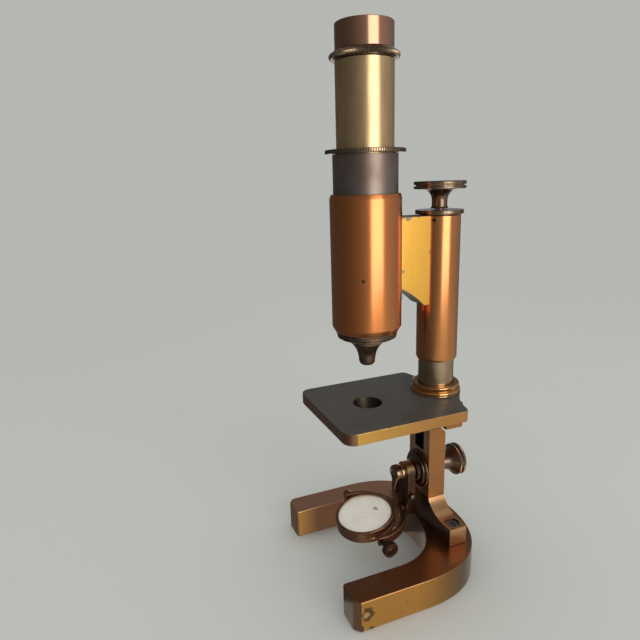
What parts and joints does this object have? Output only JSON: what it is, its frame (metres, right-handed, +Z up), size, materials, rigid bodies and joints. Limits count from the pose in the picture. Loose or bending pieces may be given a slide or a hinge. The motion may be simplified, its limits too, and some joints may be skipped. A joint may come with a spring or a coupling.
{
  "type": "brass compound microscope",
  "caption": "Brass compound microscope with draw tube, push-tube coarse focus, screw fine focus, fixed square stage, swinging double mirror and horseshoe foot.",
  "frame": {"origin": "middle of the whole object's box in plan, on the surface it stands on", "axes": "+Z up along the optical axis, -Y towards the open end of the foot and the front of the stage, +X to the side of the mirror's thumb screw"},
  "size_m": [0.0878, 0.0822, 0.2522],
  "materials": {
    "lacquered_brass": "red-gold lacquer over brushed brass",
    "pale_brass": "bare brass, dulled and streaked",
    "dark_bronze": "dark bronzed brass with worn edges",
    "black_stage": "satin black lacquer",
    "worn_nickel": "worn nickel plate",
    "blued_steel": "blued steel",
    "lens_glass": "clear polished glass",
    "mirror_silvering": "aged silvered glass with specks",
    "cloth": "dark cloth lining"
  },
  "bodies": {
    "stand": {"horseshoe_base": "lacquered_brass", "pillar_foot": "lacquered_brass", "foot_screw_left": "blued_steel", "foot_screw_right": "blued_steel", "foot_stud": "blued_steel", "pillar": "lacquered_brass", "bracket_stud": "blued_steel", "stage_bracket": "lacquered_brass", "stage_plate": "black_stage", "stage_screw_left": "blued_steel", "stage_screw_right": "blued_steel", "column_collar": "lacquered_brass", "column_post": "worn_nickel", "column_key": "blued_steel", "micrometer_nut": "pale_brass", "fine_spring": "blued_steel", "pivot_boss": "dark_bronze"},
    "carriage": {"column_tube": "lacquered_brass", "column_cap": "dark_bronze", "cap_set_screw": "blued_steel", "arm": "lacquered_brass", "tube_sleeve": "lacquered_brass", "sleeve_lining": "cloth"},
    "fine_knob": {"fine_focus_knob": "dark_bronze", "micrometer_screw": "blued_steel"},
    "body": {"body_tube": "dark_bronze", "tube_flange": "dark_bronze", "nosepiece": "dark_bronze", "objective_collar": "dark_bronze", "objective_barrel": "dark_bronze", "objective_front_lens": "lens_glass", "objective_rear_lens": "lens_glass"},
    "draw": {"draw_tube": "pale_brass", "draw_tube_stop": "black_stage"},
    "eyepiece": {"eyepiece_barrel": "pale_brass", "eyepiece_ring": "dark_bronze", "eyepiece_head": "lacquered_brass", "eyepiece_disc": "black_stage", "eye_lens": "lens_glass", "field_stop": "black_stage", "field_lens": "lens_glass"},
    "swing": {"mirror_bar": "dark_bronze", "clamp_bolt": "blued_steel", "pivot_washer": "pale_brass", "pivot_nut": "dark_bronze"},
    "stem_clamp": {"stem_clamp_screw": "dark_bronze", "stem_clamp_nut": "pale_brass"},
    "clamp": {"clamp_knob": "dark_bronze"},
    "fork": {"mirror_fork": "lacquered_brass", "stem_nut": "dark_bronze", "mirror_pivot_screw": "dark_bronze"},
    "thumb_screw": {"mirror_thumb_screw": "dark_bronze"},
    "mirror": {"mirror_cell": "dark_bronze", "plane_mirror": "mirror_silvering", "concave_mirror": "mirror_silvering", "plane_bezel": "pale_brass", "concave_bezel": "pale_brass"}
  },
  "joints": [
    {"name": "fine_focus", "type": "slide", "parent": "stand", "child": "carriage", "axis": [0, 0, 1], "range_m": [-0.00205, 0.00205], "deforming": ["fine_spring"]},
    {"name": "fine_knob_turn", "type": "hinge", "parent": "carriage", "child": "fine_knob", "pos_m": [0, 0.02585, 0.187], "axis": [0, 0, 1], "range_deg": [-1440, 1440]},
    {"name": "coarse_focus", "type": "slide", "parent": "carriage", "child": "body", "axis": [0, 0, 1], "range_m": [-0.0164, 0.04]},
    {"name": "draw_tube_slide", "type": "slide", "parent": "body", "child": "draw", "axis": [0, 0, 1], "range_m": [-0.035, 0.012]},
    {"name": "eyepiece_lift", "type": "slide", "parent": "draw", "child": "eyepiece", "axis": [0, 0, 1], "range_m": [0, 0.028]},
    {"name": "mirror_swing", "type": "hinge", "parent": "stand", "child": "swing", "pos_m": [0, 0.01, 0.044], "axis": [0, 1, 0], "range_deg": [-90, 90]},
    {"name": "clamp_knob_turn", "type": "hinge", "parent": "stand", "child": "clamp", "pos_m": [0, 0.035, 0.044], "axis": [0, 1, 0], "range_deg": [-45, 360]},
    {"name": "fork_swivel", "type": "hinge", "parent": "swing", "child": "fork", "pos_m": [0, 0.01, 0.0233], "axis": [0, 1, 0], "range_deg": [-40, 37]},
    {"name": "stem_clamp_turn", "type": "hinge", "parent": "swing", "child": "stem_clamp", "pos_m": [0, 0.00965, 0.0315], "axis": [1, 0, 0], "range_deg": [-45, 360]},
    {"name": "mirror_tilt", "type": "hinge", "parent": "fork", "child": "mirror", "pos_m": [0, -0.01435, 0.0233], "axis": [0.9986, 0, -0.0523], "continuous": true},
    {"name": "thumb_screw_turn", "type": "hinge", "parent": "fork", "child": "thumb_screw", "pos_m": [0, -0.01435, 0.0233], "axis": [0.9986, 0, -0.0523], "range_deg": [-45, 360]}
  ],
  "couplings": [
    {"joint": "fine_focus", "follows": "fine_knob_turn", "m_per_rad": 0.000079577}
  ]
}
